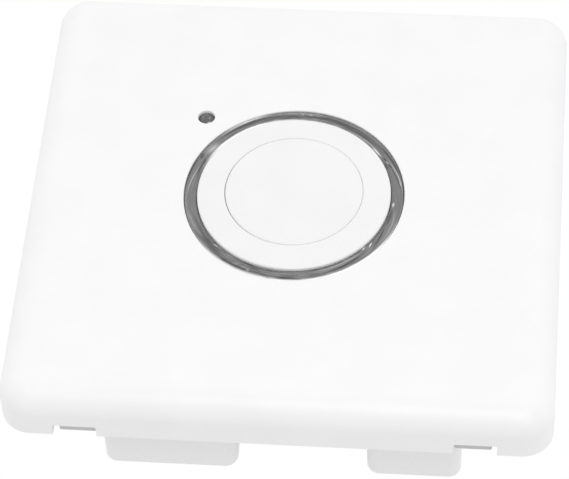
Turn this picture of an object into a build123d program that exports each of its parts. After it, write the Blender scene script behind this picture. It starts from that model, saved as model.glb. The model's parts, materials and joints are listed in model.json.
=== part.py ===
from build123d import *
import os
from math import cos, radians, sin, sqrt, tan

# Touch timer switch for a flush wall box, in millimetres.
# X runs right and Z up as seen from the room, and Y runs into the wall.
# The wall is the plane Y = 0, and the origin is midway between the two fixing holes.

# Cover plate, over its outside
plate_side = 86.0
plate_depth = 9.0
corner_radius = 5.0
front_rounding = 4.6
cover_wall = 2.0
front_wall = 2.2
cover_standoff = 0.5
edge_break = 0.2

# Lever notches in the cover's lower rim
notch_offset = 31.0
notch_width = 6.8
notch_height = 2.3

# Touch button: centre pad, domed bezel round it, and the clear ring that lights up
pad_radius = 11.05
pad_gap = 0.15
pad_travel = 0.5
pad_skin = 1.9
pad_skirt = 1.25
stop_lip = 0.95
stop_lip_thickness = 0.9
stop_gap = 0.1
bezel_radius = 15.6
bezel_skirt = 1.3
bezel_skin = 2.0
dome_radius = 110.0
dome_rise = 1.36
ring_band = 1.95
ring_clearance = 0.1
ring_recess = 0.1
ring_crown = 0.2
ring_flange_width = 1.65
ring_flange_thickness = 1.0
ring_foot_radius = 0.7
ring_foot_count = 4
ring_foot_angle = 0.0
bezel_peg_radius = 0.5
bezel_peg_count = 3
bezel_peg_angle = 90.0
peg_clearance = 0.1

# Indicator at the upper left of the ring
indicator_angle = 135.4
indicator_hole_radius = 1.5
lens_clearance = 0.08
lens_flange_width = 0.7
lens_flange_thickness = 0.8
lens_recess = 0.35
lens_crown = 0.35
lens_gap = 0.35

# Control board behind the cover
control_board_thickness = 1.2
control_board_drop = 3.5
board_margin_x = 3.6
board_margin_z = 5.6
board_corner = 1.5
screw_inset_x = 4.5
screw_inset_z = 4.0
cover_post_radius = 2.2
board_screw_radius = 0.85
board_screw_length = 3.9
board_screw_head_radius = 1.8
board_screw_head = 1.1
thread_clearance = 0.05
ring_led_count = 8
led_width = 2.0
led_depth = 1.25
led_height = 0.8
led_chamfer = 0.1
led_gap = 0.3
switch_side = 6.0
switch_height = 3.4
switch_lead = 1.2
plunger_radius = 1.7
plunger_stand = 0.9
plunger_clearance = 0.1
plunger_depth = 0.6
chip_width = 5.0
chip_length = 4.0
chip_height = 1.5
chip_lift = 0.1
chip_side_leads = 4
chip_lead_pitch = 1.27
chip_lead_reach = 1.0
chip_lead_width = 0.4
chip_lead_thickness = 0.3
chip_inset = (13.0, 13.0)
header_pitch = 2.54
header_ways = 6
header_groove = 0.4
header_inset = 5.0

# Mounting frame that is screwed to the wall box
frame_clearance = 0.4
frame_corner = 7.1
frame_plate = 2.0
frame_height = 4.6
frame_wall = 1.5
window_margin = 0.4
window_corner = 3.0
lever_land_width = 5.8
lever_land_reach = 1.05
lever_land_thickness = 1.8
lever_land_gap = 0.2
fixing_spacing = 60.3
fixing_hole_radius = 2.0
fixing_collar_radius = 4.6
fixing_collar = 1.0
frame_post_radius = 3.0
seat_depth = 0.6
seat_clearance = 0.2
lip_height = 0.9
lip_width = 1.0
lip_clearance = 0.15

# Snap hooks between cover and frame
clip_offset = 20.0
clip_width = 8.0
clip_reach = 0.9
clip_thickness = 0.7
clip_ramp = 0.8
catch_depth = 3.0
clip_clearance = 0.1
clip_side_clearance = 0.3

# Rear housing, by its outline where it meets the frame
housing_side_gap = 1.35
housing_half_z = 34.8
housing_wall = 1.6
housing_back = 1.8
housing_draft = 0.5
housing_corner = 2.2
housing_back_rounding = 1.0
recess_corner = 1.0
headroom = 2.0
lug_depth = 4.55
lug_half_height = 9.0
recess_offset = 3.2
recess_width = 20.5
recess_height = 6.5
post_inset = 6.3
post_radius = 3.4
spigot_radius = 2.2
spigot_clearance = 0.2
housing_screw_radius = 1.25
housing_screw_reach = 4.0
housing_screw_head_radius = 2.6
housing_screw_head = 1.6
cross_slot_length = 3.1
cross_slot_width = 0.8
cross_slot_depth = 0.8
counterbore_clearance = 0.3
counterbore_depth = 2.0
bore_clearance = 0.15
vent_count = 6
vent_width = 1.4
vent_length = 14.0
vent_pitch = 3.4
vent_inset = (19.8, 19.8)
access_hole_radius = 2.2

# Power board and what it carries
power_board_thickness = 1.6
power_board_clearance = 0.4
board_gap = 0.1
case_rounding = 0.4
relay_size = (17.8, 10.1)
relay_height = 12.3
relay_gap = 2.2
film_capacitor_size = (6.0, 13.0)
film_capacitor_height = 11.5
film_capacitor_inset = (12.8, 15.8)
electrolytic_radius = 4.0
electrolytic_height = 11.4
electrolytic_groove_radius = 0.5
electrolytic_groove_height = 1.8
electrolytic_inset = (12.8, 20.8)
fuse_radius = 4.2
fuse_height = 7.6
fuse_inset = (9.6, 15.3)
varistor_radius = 3.8
varistor_thickness = 3.6
varistor_rounding = 0.9
varistor_lead_offset = 1.9
varistor_inset = 11.8
lead_radius = 0.3
lead_stand = 0.9
rectifier_size = (8.2, 6.4)
rectifier_height = 3.2
rectifier_lead_offset = 2.05
rectifier_lead_width = 1.0
rectifier_lead_reach = 0.9
rectifier_lead_thickness = 0.6
rectifier_inset = 13.8
rectifier_lift = 2.0
resistor_radius = 1.6
resistor_length = 9.0
resistor_rounding = 0.8
resistor_lead_reach = 0.9
resistor_inset = (23.8, 25.8)
transistor_radius = 2.3
transistor_flat = 0.8
transistor_height = 4.6
transistor_lead_pitch = 1.27
transistor_inset = (24.8, 24.8)

# Time setting, turned with a screwdriver through the housing's back wall
selector_inset = (12.8, 14.8)
selector_body_side = 9.5
selector_body_height = 4.8
selector_shaft_radius = 3.0
selector_hole_clearance = 0.3
selector_recess = 0.4
selector_slot_width = 1.0
selector_slot_depth = 1.2
selector_bore_depth = 2.0
selector_bore_clearance = 0.08
selector_end_gap = 0.2

# Terminals that take the wires from the recess below
pole_count = 3
pole_pitch = 6.4
terminal_length = 11.0
terminal_gap = 0.3
clamp_width = 5.0
clamp_length = 6.0
clamp_height = 6.4
clamp_lift = 2.6
clamp_clearance = 0.1
wire_hole = 3.4
wire_hole_wall = 0.8
wire_window = 3.8
terminal_screw_radius = 1.4
terminal_screw_head_radius = 1.9
terminal_screw_head = 1.4
terminal_screw_sink = 1.0
terminal_slot_width = 0.8
terminal_slot_depth = 0.8

# Depths that several pieces share, worked out from the sizes above
rim_y = -cover_standoff
front_y = rim_y - plate_depth
seat_y = -seat_depth
inner_y = front_y + front_wall
inner_side = plate_side - 2 * cover_wall
control_front_y = inner_y + control_board_drop
control_back_y = control_front_y + control_board_thickness
power_front_y = lip_height + board_gap
power_back_y = power_front_y + power_board_thickness
tallest_part = max(relay_height, film_capacitor_height, electrolytic_height)
housing_inner_y = power_back_y + tallest_part + headroom
housing_back_y = housing_inner_y + housing_back
catch_y = -catch_depth

# Radii and places that several pieces share
ring_inner = bezel_radius + ring_clearance
ring_outer = ring_inner + ring_band
ring_hole = ring_outer + ring_clearance
ring_middle = (ring_inner + ring_outer) / 2
ring_flange = ring_hole + ring_flange_width
lens_flange = indicator_hole_radius + lens_flange_width
indicator_distance = ring_flange + lens_gap + lens_flange
indicator_x = indicator_distance * cos(radians(indicator_angle))
indicator_z = indicator_distance * sin(radians(indicator_angle))
board_half_x = ring_flange + board_margin_x
board_half_z = ring_flange + board_margin_z
board_screw_x = board_half_x - screw_inset_x
board_screw_z = board_half_z - screw_inset_z
window_half_x = board_screw_x + board_screw_head_radius + window_margin
window_half_z = board_screw_z + board_screw_head_radius + window_margin
frame_side = inner_side - 2 * frame_clearance
housing_half_x = fixing_spacing / 2 - housing_side_gap
lug_floor_x = housing_half_x - lug_depth
recess_top = recess_height - housing_half_z
post_x = housing_half_x - post_inset
post_z = housing_half_z - post_inset
terminal_low_z = recess_top + housing_wall + terminal_gap + housing_back_y * tan(radians(housing_draft))
terminal_high_z = terminal_low_z + terminal_length
terminal_top_y = housing_inner_y - terminal_gap
clamp_low_y = power_back_y + clamp_lift
clamp_top_y = clamp_low_y + clamp_height
clamp_z = terminal_low_z + clamp_clearance + clamp_length / 2
wire_y = clamp_low_y + wire_hole_wall + wire_hole / 2
relay_z = terminal_high_z + relay_gap + relay_size[1] / 2
pole_places = [recess_offset + (n - (pole_count - 1) / 2) * pole_pitch for n in range(pole_count)]


def from_sides(side_x, side_z, inset):
    """A place of X and Z at an inset from two of the housing's sides."""
    return side_x * (housing_half_x - inset[0]), side_z * (housing_half_z - inset[1])


film_capacitor_place = from_sides(-1, -1, film_capacitor_inset)
electrolytic_place = from_sides(-1, 1, electrolytic_inset)
fuse_place = from_sides(1, -1, fuse_inset)
varistor_place = (housing_half_x - varistor_inset, 0)
rectifier_place = (rectifier_inset - housing_half_x, rectifier_lift)
resistor_place = from_sides(-1, 1, resistor_inset)
transistor_place = from_sides(1, 1, transistor_inset)
selector_place = from_sides(1, 1, selector_inset)
vent_place = from_sides(-1, 1, vent_inset)
header_place = (0, board_half_z - header_inset)
chip_place = (board_half_x - chip_inset[0], chip_inset[1] - board_half_z)


def slab(outline, y_front, y_back, taper=0):
    """Solid of an outline of X and Z between two depths, drawn at the back one."""
    return extrude(Plane.XZ.offset(-y_back) * outline, amount=y_back - y_front, taper=taper)


def block(x_span, y_span, z_span):
    """Box between two limits along each axis."""
    spans = (x_span, y_span, z_span)
    sizes = [high - low for low, high in spans]
    middle = [(high + low) / 2 for low, high in spans]
    return Pos(*middle) * Box(*sizes)


def brick(place, size, y_front, y_back):
    """Box centred on a place of X and Z, between two depths."""
    return slab(Pos(*place) * Rectangle(*size), y_front, y_back)


def rod(place, radius, y_front, y_back):
    """Cylinder along Y, centred on a place of X and Z."""
    return slab(Pos(*place) * Circle(radius), y_front, y_back)


def turned(*edges):
    """Solid turned about the Y axis from the edges of an outline of radius and depth."""
    return revolve(make_face(Curve() + list(edges)), Axis.Y)


def corners(x, z):
    """Four places mirrored about both axes."""
    return [(x, z), (-x, z), (-x, -z), (x, -z)]


def places_on_circle(radius, count, first_angle):
    """Evenly spaced places on a circle about the button's axis."""
    angles = [radians(first_angle + 360 / count * n) for n in range(count)]
    return [(radius * cos(a), radius * sin(a)) for a in angles]


bezel_peg_places = places_on_circle(bezel_radius - bezel_skirt / 2, bezel_peg_count, bezel_peg_angle)


def rims(piece):
    """The piece's full circles, from the front one to the back one."""
    return piece.edges().filter_by(lambda edge: edge.is_closed).sort_by(Axis.Y)


def sphere_drop(sphere_radius, radius):
    """How far a sphere's surface falls back at a distance from its axis."""
    return sphere_radius - sqrt(sphere_radius**2 - radius**2)


def dome_y(radius):
    """Depth of the button's domed face at a distance from its centre."""
    return front_y - dome_rise + sphere_drop(dome_radius, radius)


def dome_arc(inner, outer):
    """The domed face's arc between two radii."""
    spots = [(r, dome_y(r)) for r in (inner, (inner + outer) / 2, outer)]
    return ThreePointArc(*spots)


def housing_outline():
    """The housing's outline at the frame, with two lug recesses and one for the wires."""
    outline = Rectangle(2 * housing_half_x, 2 * housing_half_z)
    for side in (-1, 1):
        middle = side * (lug_floor_x + lug_depth / 2)
        outline -= Pos(middle, 0) * Rectangle(lug_depth, 2 * lug_half_height)
    recess = Rectangle(recess_width, recess_height)
    outline -= Pos(recess_offset, recess_top - recess_height / 2) * recess
    inside_x = housing_half_x - edge_break
    inside_z = housing_half_z - edge_break
    floors = [v for v in outline.vertices() if abs(v.X) < inside_x and abs(v.Y) < inside_z]
    outline = fillet(floors, recess_corner)
    outside = [v for v in outline.vertices() if abs(v.X) > inside_x or abs(v.Y) > inside_z]
    return fillet(outside, housing_corner)


def inset_outline(inset):
    """The housing's outline moved inwards by an inset."""
    return offset(housing_outline(), -inset, kind=Kind.INTERSECTION)


def housing_core(inset, y_front, y_back):
    """Drafted solid that lies inside the housing's outer faces by an inset."""
    shift = y_back * tan(radians(housing_draft))
    return slab(inset_outline(inset + shift), y_front, y_back, taper=-housing_draft)


def cover_hook():
    """Hook on the cover's lower wall, with its catch face to the front."""
    wall_z = -inner_side / 2
    tip_z = wall_z + clip_reach
    face_y = catch_y + clip_clearance
    flat_y = face_y + clip_thickness
    outline = Polyline(
        (face_y, wall_z - cover_wall / 2),
        (face_y, tip_z),
        (flat_y, tip_z),
        (flat_y + clip_ramp, wall_z),
        (flat_y + clip_ramp, wall_z - cover_wall / 2),
        close=True,
    )
    return extrude(Plane.YZ.offset(-clip_width / 2) * make_face(outline), amount=clip_width)


def clip_pocket():
    """Room for one hook in the frame's lower edge, behind its ledge."""
    half_width = clip_width / 2 + clip_side_clearance
    floor_z = -inner_side / 2 + clip_reach + clip_side_clearance
    hook_back_y = catch_y + clip_clearance + clip_thickness + clip_ramp
    return block(
        (-half_width, half_width), (catch_y, hook_back_y + clip_side_clearance), (-frame_side, floor_z)
    )


def at_clips(piece):
    """The piece at each of the four clip places, two below and two above."""
    below = [Pos(x, 0, 0) * piece for x in (-clip_offset, clip_offset)]
    return below + [mirror(each, Plane.XY) for each in below]


def make_front_cover():
    """Moulded cover, open at the back, with the ring's hole and two lever notches."""
    outer = slab(RectangleRounded(plate_side, plate_side, corner_radius), front_y, rim_y)
    outer = fillet(outer.edges().group_by(Axis.Y)[0], front_rounding)
    inner_corner_radius = corner_radius - cover_wall
    inner_rounding = min(front_rounding, corner_radius) - cover_wall
    cavity = slab(RectangleRounded(inner_side, inner_side, inner_corner_radius), inner_y, rim_y)
    cavity = fillet(cavity.edges().group_by(Axis.Y)[0], inner_rounding)
    cover = outer - cavity
    cover -= slab(Circle(ring_hole), front_y, inner_y)
    indicator = (indicator_x, indicator_z)
    cover -= rod(indicator, indicator_hole_radius, front_y, inner_y)
    cover = fillet(rims(cover)[:2], edge_break)
    half_notch = notch_width / 2
    for side in (-1, 1):
        middle = side * notch_offset
        cover -= block(
            (middle - half_notch, middle + half_notch),
            (rim_y - notch_height, rim_y),
            (-plate_side / 2, -inner_side / 2 + cover_wall / 2),
        )
    for hook in at_clips(cover_hook()):
        cover += hook
    for place in corners(board_screw_x, board_screw_z):
        cover += rod(place, cover_post_radius, inner_y, control_front_y)
        cover -= rod(place, board_screw_radius + thread_clearance, inner_y, control_front_y)
    return cover


def make_light_ring():
    """Clear ring with a crowned top, a flange behind the cover and feet on the board."""
    top_y = front_y + ring_recess
    shoulder_y = top_y + ring_crown
    flange_back_y = inner_y + ring_flange_thickness
    crown = ThreePointArc((ring_inner, shoulder_y), (ring_middle, top_y), (ring_outer, shoulder_y))
    sides = Polyline(
        (ring_outer, shoulder_y),
        (ring_outer, inner_y),
        (ring_flange, inner_y),
        (ring_flange, flange_back_y),
        (ring_inner, flange_back_y),
        (ring_inner, shoulder_y),
    )
    ring = turned(crown, sides)
    foot_middle = ring_flange - ring_foot_radius - edge_break
    for place in places_on_circle(foot_middle, ring_foot_count, ring_foot_angle):
        ring += rod(place, ring_foot_radius, flange_back_y, control_front_y)
    return ring


def make_button_bezel():
    """Domed white ring that guides the pad, standing on the board by its skirt."""
    bore = pad_radius + pad_gap
    skirt_inner = bezel_radius - bezel_skirt
    under_y = dome_y(bore) + bezel_skin
    top = dome_arc(bore, bezel_radius)
    sides = Polyline(
        (bezel_radius, dome_y(bezel_radius)),
        (bezel_radius, control_front_y),
        (skirt_inner, control_front_y),
        (skirt_inner, under_y),
        (bore, under_y),
        (bore, dome_y(bore)),
    )
    bezel = turned(top, sides)
    bezel = fillet(rims(bezel)[:2], edge_break)
    for place in bezel_peg_places:
        bezel += rod(place, bezel_peg_radius, control_front_y, control_back_y + edge_break)
    return bezel


def make_touch_pad():
    """Domed pad with a stop lip behind the bezel and a stem on the switch's plunger."""
    lip_front_y = dome_y(pad_radius + pad_gap) + bezel_skin + stop_gap
    lip_back_y = lip_front_y + stop_lip_thickness
    under_y = dome_y(0) + pad_skin
    stem_y = control_front_y - switch_height - plunger_stand
    sides = Polyline(
        (pad_radius, dome_y(pad_radius)),
        (pad_radius, lip_front_y),
        (pad_radius + stop_lip, lip_front_y),
        (pad_radius + stop_lip, lip_back_y),
        (pad_radius - pad_skirt, lip_back_y),
        (pad_radius - pad_skirt, under_y),
        (plunger_radius, under_y),
        (plunger_radius, stem_y),
        (0, stem_y),
        (0, dome_y(0)),
    )
    pad = turned(dome_arc(0, pad_radius), sides)
    return fillet(rims(pad)[0], edge_break)


def make_switch_plunger():
    """Plunger of the key switch, which goes down with the pad."""
    switch_front_y = control_front_y - switch_height
    return rod((0, 0), plunger_radius, switch_front_y - plunger_stand, switch_front_y + plunger_depth)


def make_switch_body():
    """Square key switch with a well for its plunger and four leads in the board."""
    half = switch_side / 2
    front_face_y = control_front_y - switch_height
    body = brick((0, 0), (switch_side, switch_side), front_face_y, control_front_y)
    body = chamfer(body.edges().filter_by(Axis.Y), edge_break)
    well_y = front_face_y + plunger_depth + pad_travel + plunger_clearance
    body -= rod((0, 0), plunger_radius + plunger_clearance, front_face_y, well_y)
    for place in corners(half - switch_lead, half - switch_lead):
        body += rod(place, lead_radius, control_front_y, control_back_y + edge_break)
    return body


def make_indicator_lens():
    """Light pipe in the indicator's hole, with a flange behind the cover."""
    radius = indicator_hole_radius - lens_clearance
    top_y = front_y + lens_recess
    shoulder_y = top_y + lens_crown
    flange_back_y = inner_y + lens_flange_thickness
    end_y = control_front_y - led_height - led_gap
    crown_radius = (radius**2 + lens_crown**2) / (2 * lens_crown)
    halfway = (radius / 2, top_y + sphere_drop(crown_radius, radius / 2))
    dome = ThreePointArc((0, top_y), halfway, (radius, shoulder_y))
    sides = Polyline(
        (radius, shoulder_y),
        (radius, inner_y),
        (lens_flange, inner_y),
        (lens_flange, flange_back_y),
        (radius, flange_back_y),
        (radius, end_y),
        (0, end_y),
        (0, top_y),
    )
    return Pos(indicator_x, 0, indicator_z) * turned(dome, sides)


def make_control_board():
    """Board behind the cover, with holes for its screws, the bezel's pegs and the leads."""
    outline = RectangleRounded(2 * board_half_x, 2 * board_half_z, board_corner)
    for place in corners(board_screw_x, board_screw_z):
        outline -= Pos(*place) * Circle(board_screw_radius + bore_clearance)
    for place in bezel_peg_places:
        outline -= Pos(*place) * Circle(bezel_peg_radius + peg_clearance)
    lead_place = switch_side / 2 - switch_lead
    for place in corners(lead_place, lead_place):
        outline -= Pos(*place) * Circle(lead_radius + peg_clearance)
    for place in corners(post_x, post_z):
        outline -= Pos(*place) * Circle(frame_post_radius + frame_clearance)
    return slab(outline, control_front_y, control_back_y)


def make_board_screws():
    """Screws that hold the control board to the cover's posts."""
    tip_y = control_back_y - board_screw_length
    shank = rod((0, 0), board_screw_radius, tip_y, control_back_y)
    head = rod((0, 0), board_screw_head_radius, control_back_y, control_back_y + board_screw_head)
    screw = chamfer((shank + head).edges().group_by(Axis.Y)[-1], edge_break)
    return [Pos(x, 0, z) * screw for x, z in corners(board_screw_x, board_screw_z)]


def led(place, turn=0):
    """Flat surface-mounted lamp on the control board."""
    outline = Rot(0, 0, turn) * Rectangle(led_width, led_depth)
    body = slab(outline, control_front_y - led_height, control_front_y)
    body = chamfer(body.edges().group_by(Axis.Y)[0], led_chamfer)
    return Pos(place[0], 0, place[1]) * body


def make_ring_leds():
    """Lamps under the clear ring, each turned to face along it."""
    first_angle = 180 / ring_led_count
    places = places_on_circle(ring_middle, ring_led_count, first_angle)
    return [led(place, first_angle + 90 + 360 / ring_led_count * n) for n, place in enumerate(places)]


def make_indicator_led():
    """Lamp under the indicator's lens."""
    return led((indicator_x, indicator_z))


def make_microcontroller():
    """Timer chip with eight gull-wing leads on the back of the control board."""
    x, z = chip_place
    top_y = control_back_y + chip_height
    body = brick(chip_place, (chip_width, chip_length), control_back_y + chip_lift, top_y)
    chip = chamfer(body.edges().group_by(Axis.Y)[-1], edge_break)
    lead_size = (chip_lead_width, chip_length + 2 * chip_lead_reach)
    for n in range(chip_side_leads):
        lead_x = x + (n - (chip_side_leads - 1) / 2) * chip_lead_pitch
        lead_top_y = control_back_y + chip_lead_thickness
        chip += brick((lead_x, z), lead_size, control_back_y, lead_top_y)
    return chip


def make_link_header():
    """Row of pins in a plastic strip that joins the two boards."""
    length = header_ways * header_pitch
    strip = brick(header_place, (length, header_pitch), control_back_y, power_front_y)
    grooves = [header_place[0] + (n - header_ways / 2) * header_pitch for n in range(1, header_ways)]
    for x in grooves:
        for side in (-1, 1):
            edge = (x, header_place[1] + side * header_pitch / 2)
            strip -= brick(edge, (header_groove, header_groove), control_back_y, power_front_y)
    return strip


def lever_land(side):
    """Land in one lever notch, which a screwdriver bears on to lift the cover."""
    inner_x = notch_offset - notch_width / 2 + lever_land_gap
    x_span = sorted((side * inner_x, side * (inner_x + lever_land_width)))
    edge_z = -frame_side / 2
    land = block(x_span, (-lever_land_thickness, 0), (edge_z - lever_land_reach, edge_z + frame_wall / 2))
    return chamfer(land.edges().filter_by(Axis.Y).group_by(Axis.Z)[0], edge_break)


def make_mounting_frame():
    """Frame behind the cover: plate, rim with clip ledges, screw posts, housing seat and lip."""
    outer = RectangleRounded(frame_side, frame_side, frame_corner)
    inside = frame_side - 2 * frame_wall
    frame = slab(outer, -frame_plate, 0)
    frame += slab(outer - RectangleRounded(inside, inside, frame_corner - frame_wall), -frame_height, 0)
    window = RectangleRounded(2 * window_half_x, 2 * window_half_z, window_corner)
    frame -= slab(window, -frame_plate, 0)
    frame -= slab(inset_outline(-seat_clearance), seat_y, 0)
    lip_inset = housing_wall + lip_clearance
    lip = inset_outline(lip_inset) - inset_outline(lip_inset + lip_width)
    frame += slab(lip, seat_y, lip_height)
    for place in corners(post_x, post_z):
        frame += rod(place, frame_post_radius, -frame_height, seat_y)
        frame -= rod(place, housing_screw_radius + thread_clearance, -housing_screw_reach, seat_y)
    for side in (-1, 1):
        place = (side * fixing_spacing / 2, 0)
        frame += rod(place, fixing_collar_radius, -frame_plate - fixing_collar, -frame_plate)
        frame -= rod(place, fixing_hole_radius, -frame_plate - fixing_collar, 0)
    for pocket in at_clips(clip_pocket()):
        frame -= pocket
    for side in (-1, 1):
        frame += lever_land(side)
    return frame


def make_rear_housing():
    """Moulded box behind the frame, with room for the box's lugs and for the wires."""
    outer = housing_core(0, seat_y, housing_back_y)
    outer = fillet(outer.edges().group_by(Axis.Y)[-1], housing_back_rounding)
    housing = outer - housing_core(housing_wall, seat_y, housing_inner_y)
    bore_radius = housing_screw_radius + bore_clearance
    head_room = housing_screw_head_radius + counterbore_clearance
    for place in corners(post_x, post_z):
        housing += rod(place, post_radius, power_back_y, housing_inner_y)
        housing += rod(place, spigot_radius, seat_y, power_back_y)
        housing -= rod(place, bore_radius, seat_y, housing_back_y)
        housing -= rod(place, head_room, housing_back_y - counterbore_depth, housing_back_y)
    for x in pole_places:
        housing -= rod((x, clamp_z), access_hole_radius, housing_inner_y, housing_back_y)
        half = wire_window / 2
        housing -= block(
            (x - half, x + half), (wire_y - half, wire_y + half), (recess_top, terminal_low_z)
        )
    hole = selector_shaft_radius + selector_hole_clearance
    housing -= rod(selector_place, hole, housing_inner_y, housing_back_y)
    for n in range(vent_count):
        x = vent_place[0] + (n - (vent_count - 1) / 2) * vent_pitch
        slot = Pos(x, vent_place[1]) * Rot(0, 0, 90) * SlotOverall(vent_length, vent_width)
        housing -= slab(slot, housing_inner_y, housing_back_y)
    return housing


def make_housing_screws():
    """Long screws from the back of the housing into the frame's posts."""
    head_y = housing_back_y - counterbore_depth
    top_y = head_y + housing_screw_head
    screw = rod((0, 0), housing_screw_radius, -housing_screw_reach + edge_break, head_y)
    head = rod((0, 0), housing_screw_head_radius, head_y, top_y)
    screw += chamfer(head.edges().group_by(Axis.Y)[-1], case_rounding)
    for size in ((cross_slot_length, cross_slot_width), (cross_slot_width, cross_slot_length)):
        screw -= brick((0, 0), size, top_y - cross_slot_depth, top_y)
    return [Pos(x, 0, z) * screw for x, z in corners(post_x, post_z)]


def make_power_board():
    """Board in the housing, cut to its outline and held on the posts' shoulders."""
    inset = housing_wall + power_board_clearance + power_back_y * tan(radians(housing_draft))
    outline = inset_outline(inset)
    for place in corners(post_x, post_z):
        outline -= Pos(*place) * Circle(spigot_radius + spigot_clearance)
    return slab(outline, power_front_y, power_back_y)


def make_relay():
    """Sealed relay that switches the lamp."""
    place = (recess_offset, relay_z)
    case = brick(place, relay_size, power_back_y, power_back_y + relay_height)
    case = fillet(case.edges().filter_by(Axis.Y), case_rounding)
    return chamfer(case.edges().group_by(Axis.Y)[-1], edge_break)


def make_film_capacitor():
    """Box film capacitor that drops the mains voltage."""
    top_y = power_back_y + film_capacitor_height
    case = brick(film_capacitor_place, film_capacitor_size, power_back_y, top_y)
    return fillet(case.edges().group_by(Axis.Y)[-1], case_rounding)


def make_electrolytic_capacitor():
    """Smoothing capacitor: a can with a rolled groove near its base."""
    top_y = power_back_y + electrolytic_height
    can = rod((0, 0), electrolytic_radius, power_back_y, top_y)
    can = fillet(can.edges().group_by(Axis.Y)[-1], case_rounding)
    groove_y = power_back_y + electrolytic_groove_height
    groove = Pos(electrolytic_radius + edge_break, groove_y) * Circle(electrolytic_groove_radius)
    can -= revolve(groove, Axis.Y)
    return Pos(electrolytic_place[0], 0, electrolytic_place[1]) * can


def make_fuse():
    """Round cased fuse on the live side."""
    case = rod(fuse_place, fuse_radius, power_back_y, power_back_y + fuse_height)
    return fillet(case.edges().group_by(Axis.Y)[-1], case_rounding)


def make_varistor():
    """Surge disc standing on its two leads."""
    x, z = varistor_place
    centre_y = power_back_y + lead_stand + varistor_radius
    disc = Pos(x, centre_y, z) * Cylinder(varistor_radius, varistor_thickness)
    disc = fillet(disc.edges(), varistor_rounding)
    for side in (-1, 1):
        disc += rod((x + side * varistor_lead_offset, z), lead_radius, power_back_y, centre_y)
    return disc


def make_bridge_rectifier():
    """Moulded bridge rectifier with four leads."""
    top_y = power_back_y + rectifier_height
    body = brick(rectifier_place, rectifier_size, power_back_y + lead_radius, top_y)
    body = chamfer(body.edges().group_by(Axis.Y)[-1], edge_break)
    lead_size = (rectifier_lead_width, 2 * rectifier_lead_reach)
    lead_top_y = power_back_y + rectifier_lead_thickness
    for x, z in corners(rectifier_lead_offset, rectifier_size[1] / 2):
        lead_place = (rectifier_place[0] + x, rectifier_place[1] + z)
        body += brick(lead_place, lead_size, power_back_y, lead_top_y)
    return body


def make_surge_resistor():
    """Resistor lying on the board, with its leads bent down at both ends."""
    x, z = resistor_place
    axis_y = power_back_y + resistor_radius
    lie_flat = Pos(x, axis_y, z) * Rot(0, 90, 0)
    body = lie_flat * Cylinder(resistor_radius, resistor_length)
    body = fillet(body.edges().filter_by(GeomType.CIRCLE), resistor_rounding)
    reach = resistor_length / 2 + resistor_lead_reach
    body += lie_flat * Cylinder(lead_radius, 2 * reach)
    for side in (-1, 1):
        body += rod((x + side * reach, z), lead_radius, power_back_y, axis_y)
    return body


def make_driver_transistor():
    """Small transistor that drives the relay, with a flat on its case."""
    x, z = transistor_place
    width = 2 * transistor_radius
    case = Pos(x, z) * (Circle(transistor_radius) & Pos(0, transistor_flat) * Rectangle(width, width))
    base_y = power_back_y + lead_stand
    body = slab(case, base_y, base_y + transistor_height)
    for n in (-1, 0, 1):
        body += rod((x + n * transistor_lead_pitch, z), lead_radius, power_back_y, base_y)
    return body


def make_selector_body():
    """Square body of the time setting, with a well for its shaft."""
    top_y = power_back_y + selector_body_height
    size = (selector_body_side, selector_body_side)
    body = brick(selector_place, size, power_back_y, top_y)
    body = chamfer(body.edges().filter_by(Axis.Y), case_rounding)
    well_radius = selector_shaft_radius + selector_bore_clearance
    return body - rod(selector_place, well_radius, top_y - selector_bore_depth, top_y)


def make_time_selector():
    """Slotted shaft of the time setting, reached through the housing's back wall."""
    body_top_y = power_back_y + selector_body_height
    foot_y = body_top_y - selector_bore_depth + selector_end_gap
    end_y = housing_back_y - selector_recess
    shaft = rod((0, 0), selector_shaft_radius, foot_y, end_y)
    shaft = chamfer(shaft.edges().group_by(Axis.Y)[-1], edge_break)
    slot_size = (selector_slot_width, 2 * selector_shaft_radius)
    shaft -= brick((0, 0), slot_size, end_y - selector_slot_depth, end_y)
    return Pos(selector_place[0], 0, selector_place[1]) * shaft


def make_terminal_block():
    """Plastic block with a chamber for each clamp and a well for each screw."""
    half_width = pole_count * pole_pitch / 2
    body = block(
        (recess_offset - half_width, recess_offset + half_width),
        (power_back_y, terminal_top_y),
        (terminal_low_z, terminal_high_z),
    )
    half = clamp_width / 2 + clamp_clearance
    chamber_y = (clamp_low_y - clamp_clearance, clamp_top_y + clamp_clearance)
    chamber_z = (terminal_low_z, clamp_z + clamp_length / 2 + clamp_clearance)
    well_radius = terminal_screw_head_radius + clamp_clearance
    for x in pole_places:
        body -= block((x - half, x + half), chamber_y, chamber_z)
        body -= rod((x, clamp_z), well_radius, clamp_top_y, terminal_top_y)
    return body


def make_terminal_clamps():
    """Brass cages, each with a square wire hole and a threaded hole above it."""
    half = clamp_width / 2
    half_hole = wire_hole / 2
    z_span = (clamp_z - clamp_length / 2, clamp_z + clamp_length / 2)
    cage = block((-half, half), (clamp_low_y, clamp_top_y), z_span)
    cage -= block((-half_hole, half_hole), (wire_y - half_hole, wire_y + half_hole), z_span)
    cage -= rod((0, clamp_z), terminal_screw_radius + thread_clearance, wire_y, clamp_top_y)
    return [Pos(x, 0, 0) * cage for x in pole_places]


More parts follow.
